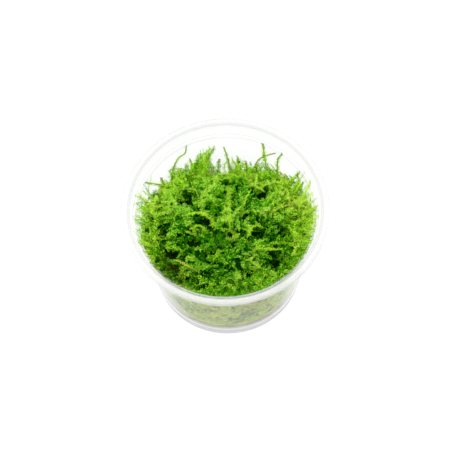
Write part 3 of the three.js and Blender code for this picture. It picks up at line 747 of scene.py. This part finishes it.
# Places on the cushion that differ from their surroundings: x, y, radius, shade, browning
PATCHES = (
    (-30.3, -4.5, 5.5, -0.2, 0.6), (-15.7, -10.8, 4, -0.1, 0.4), (-25.6, -18.4, 5, -0.15, 0.5),
    (-21.7, -32.4, 4.5, -0.1, 0.6), (-28, -27, 4.5, -0.1, 0.4), (-16, -26, 7, -0.15, -0.2),
    (31, 7, 4, 0.05, 0.6), (24, -14, 3.5, -0.05, 0.3), (0, 20, 3.5, -0.1, 0.3),
    (1.5, -1, 4, 0.15, 0), (33, 16, 10, 0.22, 0.05), (34, -5, 9, 0.2, 0.05),
    (-20, 8, 7, 0.05, -0.4), (8, 8, 8, 0, -0.4), (2, -26, 12, 0, -0.4),
    (-27.6, -22.2, 7, -0.22, 0.2), (-24, -10.5, 6, -0.1, 0), (-13.6, -14, 5, -0.14, 0),
    (-12, -29.5, 5, -0.3, 0), (-37, 8, 7, 0.3, 0.1), (-28, 15, 9, 0.34, 0.1),
    (-18, -2, 4.5, 0.18, 0), (-4, 26, 6, 0.16, 0.05), (15, 19, 6, 0.16, 0),
    (17, 27, 6, 0.16, 0.05), (30, 21, 8, 0.14, 0), (34, 8, 7, 0.28, 0.1),
    (0, 4, 5, 0.1, 0), (-6.5, -15, 5, -0.2, 0), (8, -12, 5, -0.14, 0),
    (13, -18.5, 5, 0.2, 0), (22.5, -24, 5, -0.5, 0), (-6.5, 2, 6, 0.2, 0),
    (23, -12, 6, 0.1, 0), (1, -2.5, 4.5, 0.16, 0), (15, -2, 4.5, 0.14, 0),
    (0.5, -10, 4.5, 0.17, 0), (-26, -25, 5, -0.2, 0.1), (-15, -25, 5, 0.3, 0.1),
    (7, -26, 6.5, 0.42, 0.1), (38, 11, 6, 0.26, -0.1), (-31, 16.5, 8, 0.14, -0.3),
    (-34, -1, 7.5, 0.36, -0.35), (-13.5, 23.5, 4.5, -0.16, -0.1), (-2, 23, 6, 0.1, -0.1),
    (-13, 15, 5, 0.12, 0), (27, 21, 7, 0.1, -0.2), (16.5, 13.5, 5, 0.16, 0),
    (9, 5.5, 4.5, -0.12, 0), (-28.5, -8.5, 5, -0.2, 0.1), (-20.5, -17, 4.5, -0.12, 0),
    (5, -18, 4.5, -0.18, -0.1), (-7, -18, 5, -0.28, -0.1), (36, -20, 6, -0.2, 0),
    (0, -34.5, 14, -0.1, -0.1),
)


def surface_shade(x, y, rng):
    """Base shade and browning of a shoot by its place; below 0 the browning turns to emerald."""
    distance = np.hypot(x, y)
    shade = 0.53 + 0.07 * np.sin(0.16 * x + 0.5) * np.cos(0.13 * y + 1.0) + rng.normal(0, 0.07)
    shade += 0.1 * smoothstep(26, 40, distance) * smoothstep(-34, -6, y) + 0.1 * smoothstep(8, 26, y)
    # Painted shade: darker where the hollows are deep
    shade -= 0.05 * hollow_depth(x, y)
    brown = 0.5 * smoothstep(22, 38, distance) - 0.5 + 0.25 * smoothstep(6, 28, y) + rng.normal(0, 0.2)
    brown = min(brown, 0.0)
    variety = rng.uniform(0.4, 1.3)
    for patch_x, patch_y, spread, lighter, browner in PATCHES:
        near = math.exp(-((x - patch_x) ** 2 + (y - patch_y) ** 2) / spread**2)
        shade += lighter * near
        brown += browner * near * variety
    return float(shade), float(np.clip(brown, -0.9, 0.9))


# The dark core inside the tangle, painted shade: radius of its top, depth under the cushion's surface and
# gap to the wall
HEART_RADIUS = 36.2
HEART_DEPTH = 4.5
SHOULDER_DEPTH = 6
HEART_GAP = 2.8
HEART_BOTTOM = CUSHION_BOTTOM + 0.5


def make_core():
    """Painted shade: a dark body a little inside the leafy surface, standing for the shade deep in the
    tangle.
    """
    rings, segments = 26, 120
    vertices = [(0, 0, float(cushion_height(0, 0)) - HEART_DEPTH)]
    angles = np.arange(segments) * 2 * math.pi / segments
    for ring in range(rings):
        radius = HEART_RADIUS * (ring + 1) / rings
        x, y = radius * np.cos(angles), radius * np.sin(angles)
        rough = 0.9 * np.sin(1.9 * x + 0.7 * y) * np.cos(1.6 * y - 0.5 * x)
        vertices += list(zip(x, y, cushion_height(x, y) - HEART_DEPTH + rough))
    shoulder = cushion_height(HEART_RADIUS * np.cos(angles), HEART_RADIUS * np.sin(angles)) - SHOULDER_DEPTH
    heights = [shoulder + (HEART_BOTTOM - shoulder) * share for share in np.linspace(0, 1, 14)]
    for height in heights:
        rough = 0.7 * np.sin(9 * angles + 0.8 * height) * np.cos(14 * angles - 0.5 * height)
        radius = inner_radius(height) - HEART_GAP + rough
        vertices += list(zip(radius * np.cos(angles), radius * np.sin(angles), height))
    vertices.append((0, 0, HEART_BOTTOM))
    vertices = np.array(vertices)
    loops = rings + len(heights)
    faces = []
    for j in range(segments):
        k = (j + 1) % segments
        faces.append((0, 1 + j, 1 + k))
        for i in range(loops - 1):
            a, b = 1 + i * segments, 1 + (i + 1) * segments
            faces += [(a + j, b + j, b + k), (a + j, b + k, a + k)]
        bottom = 1 + (loops - 1) * segments
        faces.append((len(vertices) - 1, bottom + k, bottom + j))
    core = Leafage(0)
    at_side = np.arange(len(vertices)) > rings * segments
    x, y, z = vertices.T
    shade = 0.09 + 0.05 * np.sin(x * 1.3) * np.sin(y * 1.1 + z)
    brown = 0.05 + 0.2 * np.sin(x * 0.35 + 1) * np.cos(z * 0.3 + y * 0.3)
    # Painted light: lighter and more olive at the sides, where light comes through the wall
    shade, brown = shade + 0.5 * at_side, brown + 0.3 * at_side
    core.add(vertices, np.array(faces), np.stack([shade, brown], 1))
    return core


HOLLOW_KEPT_OPEN = 0.6


def crosses_hollow(path):
    """True where a path passes over the middle of a hollow, which stays open and dark."""
    return any(np.min(np.hypot(path[:, 0] - x, path[:, 1] - y)) < HOLLOW_KEPT_OPEN * spread
               for x, y, _, spread in HOLLOWS)


def surface_path(rng, x, y, length, sink, reach):
    """A shoot's path from under the cushion's surface, its tip at most the given reach above it."""
    distance = math.hypot(x, y)
    upright = float(smoothstep(12, 30, y))
    edge = float(smoothstep(32, 40, distance))
    if distance > 6:
        heading = math.atan2(y, x) + rng.normal(0, 1.0 + 0.5 * edge)
    else:
        heading = rng.uniform(0, 2 * math.pi)
    rise = math.radians(rng.uniform(15 + 40 * upright + 20 * edge, 75 + 13 * upright))
    foot = np.array((x, y, float(cushion_height(x, y)) - sink))
    foot -= 0.35 * length * np.array((math.cos(heading), math.sin(heading), 0)) * math.cos(rise)
    path = grown_path(rng, foot, heading, rise, length, rng.uniform(0.1, 0.4) * (1 - 0.7 * upright))
    lift = float(cushion_height(*path[-1, :2])) + reach - path[-1, 2]
    if lift < 0:
        path[:, 2] += lift * np.linspace(0, 1, len(path))
    face = unit(UP * (1 - 0.6 * upright) + np.array((0, -0.8, 0)) * upright + rng.normal(0, 0.45, 3))
    return keep_inside(path), face


def place_in_strip(rng, low_x, high_x, highest_y=CUSHION_RADIUS):
    """A place for a shoot's foot, rarer near the wall at the back."""
    while True:
        x, y = rng.uniform(low_x, high_x), rng.uniform(-CUSHION_RADIUS, highest_y)
        if smoothstep(-4, 20, y) * smoothstep(34, 41, math.hypot(x, y)) > rng.random() * 1.3:
            continue
        if math.hypot(x, y) < CUSHION_RADIUS - 0.5:
            return x, y


def under_shoots(rng, leafage, low_x, high_x, count):
    """The lower layer of the tangle, darker as painted shade deep in it."""
    for _ in range(count):
        x, y = place_in_strip(rng, low_x, high_x)
        shade, brown = surface_shade(x, y, rng)
        path, face = surface_path(rng, x, y, rng.uniform(6, 10), rng.uniform(3.5, 6.5), 1.0)
        if crosses_hollow(path) and rng.random() < 0.7:
            continue
        leafage.shoot(path, face, shade - 0.24, brown, leaf=rng.uniform(0.8, 1.1), pitch=0.75)


def top_shoots(rng, leafage, low_x, high_x, count, fronds):
    """Light leafy shoots that stand out of the cushion's surface, a share of them fir-tree fronds."""
    made = 0
    while made < count:
        x, y = place_in_strip(rng, low_x, high_x, highest_y=30)
        shade, brown = surface_shade(x, y, rng)
        is_frond = made < fronds
        length = rng.uniform(9, 15) if is_frond else rng.uniform(6, 11)
        edge = float(smoothstep(32, 40, math.hypot(x, y)))
        upright = float(smoothstep(16, 30, y))
        reach = (4.6 + 1.5 * edge) * (1 - 0.35 * upright)
        path, face = surface_path(rng, x, y, length, rng.uniform(1.0, 4.0), reach)
        if crosses_hollow(path):
            continue
        made += 1
        shade += rng.normal(0.05, 0.16)
        if is_frond:
            leafage.frond(path, face, shade, brown, branch=rng.uniform(2.4, 4.2), gap=rng.uniform(1.5, 2.4),
                          tip_glow=0.26)
        else:
            leafage.shoot(path, face, shade, brown, leaf=rng.uniform(0.75, 1.1), tip_glow=0.26)


# Shoots that lean on the ledge: directions in degrees, all and at one side, radii and heights
EDGE_DIRECTIONS = (150, 385)
EDGE_SIDE = (156, 222)
EDGE_FOOT_RADII = (34, 38.5)
EDGE_TIP_RADII = (43.4, 45.5)
EDGE_TIP_HEIGHTS = (59, 65.5)

# Directions in degrees where few shoots lean on it, so that the wall shows through
BARE_EDGES = (18, 150, 171, 378)
BARE_HALF_WIDTH = 7


def edge_shoots(rng, leafage, low_x, high_x, count):
    """Lacy shoots that lean out against the ledge round the left, front and right of the cushion."""
    made = 0
    while made < count:
        at_side = rng.random() < 0.5
        angle = math.radians(rng.uniform(*(EDGE_SIDE if at_side else EDGE_DIRECTIONS)))
        if at_side and rng.random() < 0.4:
            angle = math.pi - angle
        outward = np.array((math.cos(angle), math.sin(angle), 0))
        foot_radius, tip_radius = rng.uniform(*EDGE_FOOT_RADII), rng.uniform(*EDGE_TIP_RADII)
        if not low_x < tip_radius * outward[0] < high_x:
            continue
        made += 1
        from_bare = min(abs(math.degrees(angle) - bare) for bare in BARE_EDGES)
        if from_bare < BARE_HALF_WIDTH and rng.random() < 0.7:
            continue
        turn = rng.normal(0, 5) * np.array((-outward[1], outward[0], 0))
        foot = foot_radius * outward + (CUSHION_TOP - 2) * UP
        tip = tip_radius * outward + turn + rng.uniform(*EDGE_TIP_HEIGHTS) * UP
        bend = 0.5 * (foot + tip) + rng.normal(0, 0.6, 3) + rng.uniform(0, 1.5) * UP
        path = keep_inside(curve_through((foot, bend, tip), 8))
        if crosses_hollow(path) and rng.random() < 0.6:
            continue
        shade, brown = surface_shade(*(WALL_LAYER_RADIUS * outward[:2]), rng)
        in_front = float(smoothstep(-0.4, -0.85, outward[1]))
        leafage.shoot(path, unit(UP + rng.normal(0, 0.4, 3)), shade + 0.12 - 0.26 * in_front,
                      brown + 0.05 - 0.4 * in_front, leaf=rng.uniform(0.6, 0.9), tip_glow=0.26,
                      stem_brown=0.25)


# Bunches of upright shoots along the back: x, y and height of the highest tips, how many shoots
BACK_BUNCHES = (
    (-30, 27, 49, 8), (-26, 32, 54, 10), (-22.2, 33, 52, 9), (-18.5, 33, 53, 13),
    (-14.7, 34, 54, 14), (-11.4, 35, 58, 19), (-8.2, 36, 62, 18), (-3.4, 31, 42, 5),
    (1.5, 32, 48, 8), (4.9, 34, 55, 13), (8.7, 34, 54, 14), (13.2, 33, 53, 14),
    (17, 33, 51, 11), (20.8, 33, 46, 9), (25.3, 31, 51, 9), (29, 27, 46, 8),
    (32.8, 24, 53, 10), (35.8, 21, 60, 9),
)


def back_shoots(rng, leafage):
    """Upright lime shoots in feathery bunches with gaps between them, along the back of the cushion."""
    for x, y, top, count in BACK_BUNCHES:
        for _ in range(count):
            foot_x = 0.92 * x + rng.normal(0, 2.5)
            foot_y = y - rng.uniform(6, 12)
            foot = np.array((foot_x, foot_y, float(cushion_height(foot_x, foot_y)) - 3))
            lower = rng.random()
            tip_x, tip_y = x + rng.normal(0, 1.6 + 2 * lower), y - 3 * lower + rng.normal(0, 1)
            tip = np.array((tip_x, tip_y, top - 12 * lower))
            tip[2] = max(tip[2], float(cushion_height(tip[0], tip[1])) + 1.5)
            bend = 0.5 * (foot + tip) + rng.normal(0, (2.2, 1.0, 1.0)) + np.array((0, -1, 1.5))
            path = keep_inside(curve_through((foot, bend, tip), 9))
            shade, brown = rng.uniform(0.6, 0.97), rng.uniform(-0.15, 0.12)
            facing = unit(np.array(TO_FRONT) + rng.normal(0, 0.4, 3))
            if rng.random() < 0.7:
                leafage.frond(path, facing, shade, brown, branch=rng.uniform(2.2, 3.8),
                              gap=rng.uniform(1.4, 2.2), leaf=0.85, start=0.25, size=1.3, pitch=0.8,
                              stem_brown=0.3, tip_brown=0.3)
            else:
                leafage.shoot(path, facing, shade, brown, leaf=rng.uniform(0.75, 1.0), size=1.8, pitch=0.7,
                              stem_brown=0.3, tip_brown=0.4, lean=55)


# Patches behind the wall: angle in degrees, height, radius, shade, browning
WALL_PATCHES = (
    (258, 34, 5.5, -0.1, 1.4), (287, 38, 6, 0.1, 1.6), (282, 20, 8, -0.65, 0.1),
    (270, 36, 5, 0.6, -0.2), (262, 12, 6, 0.3, 0.1), (252, 18, 6, 0.2, 0.2),
    (240, 28, 6, -0.3, 0.2), (300, 34, 7, -0.2, 0.1), (268, 24, 4, -0.15, 0.4),
    (30, 30, 9, -0.2, 0.4), (150, 24, 9, -0.2, 0.5),
)


def wall_shoots(rng, leafage, first_angle, count):
    """Shoots pressed against the inside of half the wall, paler and browner towards the gel."""
    for _ in range(count):
        angle = first_angle + rng.uniform(0, math.pi)
        height = CUSHION_BOTTOM + 0.4 + WALL_LAYER_HEIGHT * rng.random() ** 1.15
        brim = WALL_LAYER_RADIUS - 1
        top = float(cushion_height(brim * math.cos(angle), brim * math.sin(angle)))
        if height > top + 1:
            continue
        tilt = (1 if rng.random() < 0.5 else -1) * rng.uniform(0.5, 1.5) * smoothstep(12, 22, height)
        length = rng.uniform(6, 12)
        t = np.linspace(0, 1, 6)
        way = 1 if rng.random() < 0.5 else -1
        turn = angle + way * t * length * math.cos(tilt) / WALL_LAYER_RADIUS
        z = np.clip(height + t * length * math.sin(tilt), CUSHION_BOTTOM + 0.4, top + 1.5)
        radius = inner_radius(z) - rng.uniform(0.8, 2.2)
        path = keep_inside(np.stack([radius * np.cos(turn), radius * np.sin(turn), z], 1))
        low = float(smoothstep(38, 14, height))
        shade = 1.1 + 0.06 * low + rng.normal(0, 0.5)
        brown = 0.25 * low + rng.normal(0, 0.25)
        middle_angle, middle_height = turn[len(turn) // 2], z[len(z) // 2]
        for patch_angle, patch_height, spread, lighter, browner in WALL_PATCHES:
            around = WALL_LAYER_RADIUS * (middle_angle - math.radians(patch_angle))
            near = math.exp(-(around**2 + (middle_height - patch_height) ** 2) / spread**2)
            shade += lighter * near
            brown += browner * near
        outward = np.array((math.cos(angle), math.sin(angle), 0.2))
        leafage.shoot(path, outward, shade, float(np.clip(brown, -0.2, 0.95)), leaf=1.15)


# The cushion's leafy meshes: name, random start, first angle or range across, and numbers of shoots
WALL_HALVES = (("back", 900, 0.0), ("front", 901, math.pi))
WALL_SHOOTS = 820
BACK_SEED = 700
TOP_STRIPS = (("left", 500, -45, -10, 130), ("middle", 501, -10, 10, 75), ("right", 502, 10, 45, 130))
# Painted shade by depth in the tangle, for the top strips' leaves
PAINTED_DEPTH_SHADE = 0.17
UNDER_SHOOTS = 440
TOP_SHOOTS = 260
TOP_FRONDS = 120


def make_cushion(moss, pressed_moss, painted_shade):
    """The cushion's seven meshes: painted-shade core, two halves behind the wall, back tufts and three
    strips on top.
    """
    pieces = [make_core().make("moss_cushion_painted_shade", painted_shade)]
    for side, seed, first_angle in WALL_HALVES:
        wall_layer = Leafage(seed)
        wall_shoots(wall_layer.rng, wall_layer, first_angle, WALL_SHOOTS)
        pieces.append(wall_layer.make("moss_cushion_side_" + side, pressed_moss))
    back_layer = Leafage(BACK_SEED)
    back_shoots(back_layer.rng, back_layer)
    pieces.append(back_layer.make("moss_cushion_back_tufts", moss))
    for side, seed, low_x, high_x, at_edge in TOP_STRIPS:
        leafage = Leafage(seed, painted_depth_shade=PAINTED_DEPTH_SHADE)
        under_shoots(leafage.rng, leafage, low_x, high_x, UNDER_SHOOTS)
        top_shoots(leafage.rng, leafage, low_x, high_x, TOP_SHOOTS, TOP_FRONDS)
        edge_shoots(leafage.rng, leafage, low_x, high_x, at_edge)
        pieces.append(leafage.make("moss_cushion_top_" + side, moss))
    for piece in pieces:
        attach(piece, "root")
        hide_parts("moss_cushion")


# Stage: floor, light and camera

def make_stage():
    """A plain white floor that glows a little, so that the picture's ground stays white."""
    size = 3.0
    corners = [(-size, -size, 0), (size, -size, 0), (size, size, 0), (-size, size, 0)]
    floor = linked("floor", corners, [(0, 1, 2, 3)])
    material, tree = new_material("floor_white")
    white = {"Base Color": (0.2, 0.2, 0.2, 1), "Roughness": 0.8, "Emission Color": (1, 1, 1, 1),
             "Emission Strength": 0.82}
    shader = add_node(tree, "ShaderNodeBsdfPrincipled", white)
    floor.data.materials.append(finished(material, shader.outputs["BSDF"]))


def make_light():
    """Soft white light from all round, and one soft box above."""
    world = bpy.data.worlds.new("soft_studio")
    world.use_nodes = True
    background = world.node_tree.nodes["Background"]
    background.inputs["Color"].default_value = (1, 1, 1, 1)
    background.inputs["Strength"].default_value = 1.2
    bpy.context.scene.world = world
    place, target = Vector((-0.1, 0.05, 1.0)), Vector((0, 0, 0.05))
    light = bpy.data.lights.new("softbox_above", "AREA")
    light.shape = "DISK"
    light.size = 0.5
    light.energy = 6.0
    lamp = placed("softbox_above", light)
    lamp.location = place
    lamp.rotation_mode = "QUATERNION"
    lamp.rotation_quaternion = (target - place).to_track_quat("-Z", "Y")
    bpy.context.scene.view_settings.view_transform = "Standard"


def make_camera():
    elevation, roll = math.radians(CAMERA_ELEVATION), math.radians(CAMERA_ROLL)
    back = Vector((0, -math.cos(elevation), math.sin(elevation)))
    level_right = Vector((1, 0, 0))
    level_up = back.cross(level_right)
    right = math.cos(roll) * level_right - math.sin(roll) * level_up
    up = math.sin(roll) * level_right + math.cos(roll) * level_up
    camera = placed("photo_camera", bpy.data.cameras.new("photo_camera"))
    camera.data.sensor_width = SENSOR_WIDTH
    camera.data.lens = CAMERA_FOCAL_PIXELS / PHOTO_PIXELS * SENSOR_WIDTH
    camera.data.clip_start = 0.01
    place = Vector(CAMERA_AIM) * MM + back * CAMERA_DISTANCE * MM
    turn = Matrix((right, up, back)).transposed().to_4x4()
    camera.matrix_world = Matrix.Translation(place) @ turn
    bpy.context.scene.camera = camera
    bpy.context.scene.cycles.pixel_filter_width = PIXEL_FILTER


make_camera()
make_stage()
make_light()
make_cup()
make_gel()
moss = moss_material("moss_leaves", gloss=0.04)
# Painted light: the copy of the moss behind the wall, lightened by the light through the milky wall
pressed_moss = moss_material("moss_behind_wall", gloss=0.0, wall_light=0.54)
# Painted shade: the dark core's material
painted_shade = moss_material("moss_painted_shade", gloss=0.0)
make_long_shoots(moss)
make_cushion(moss, pressed_moss, painted_shade)
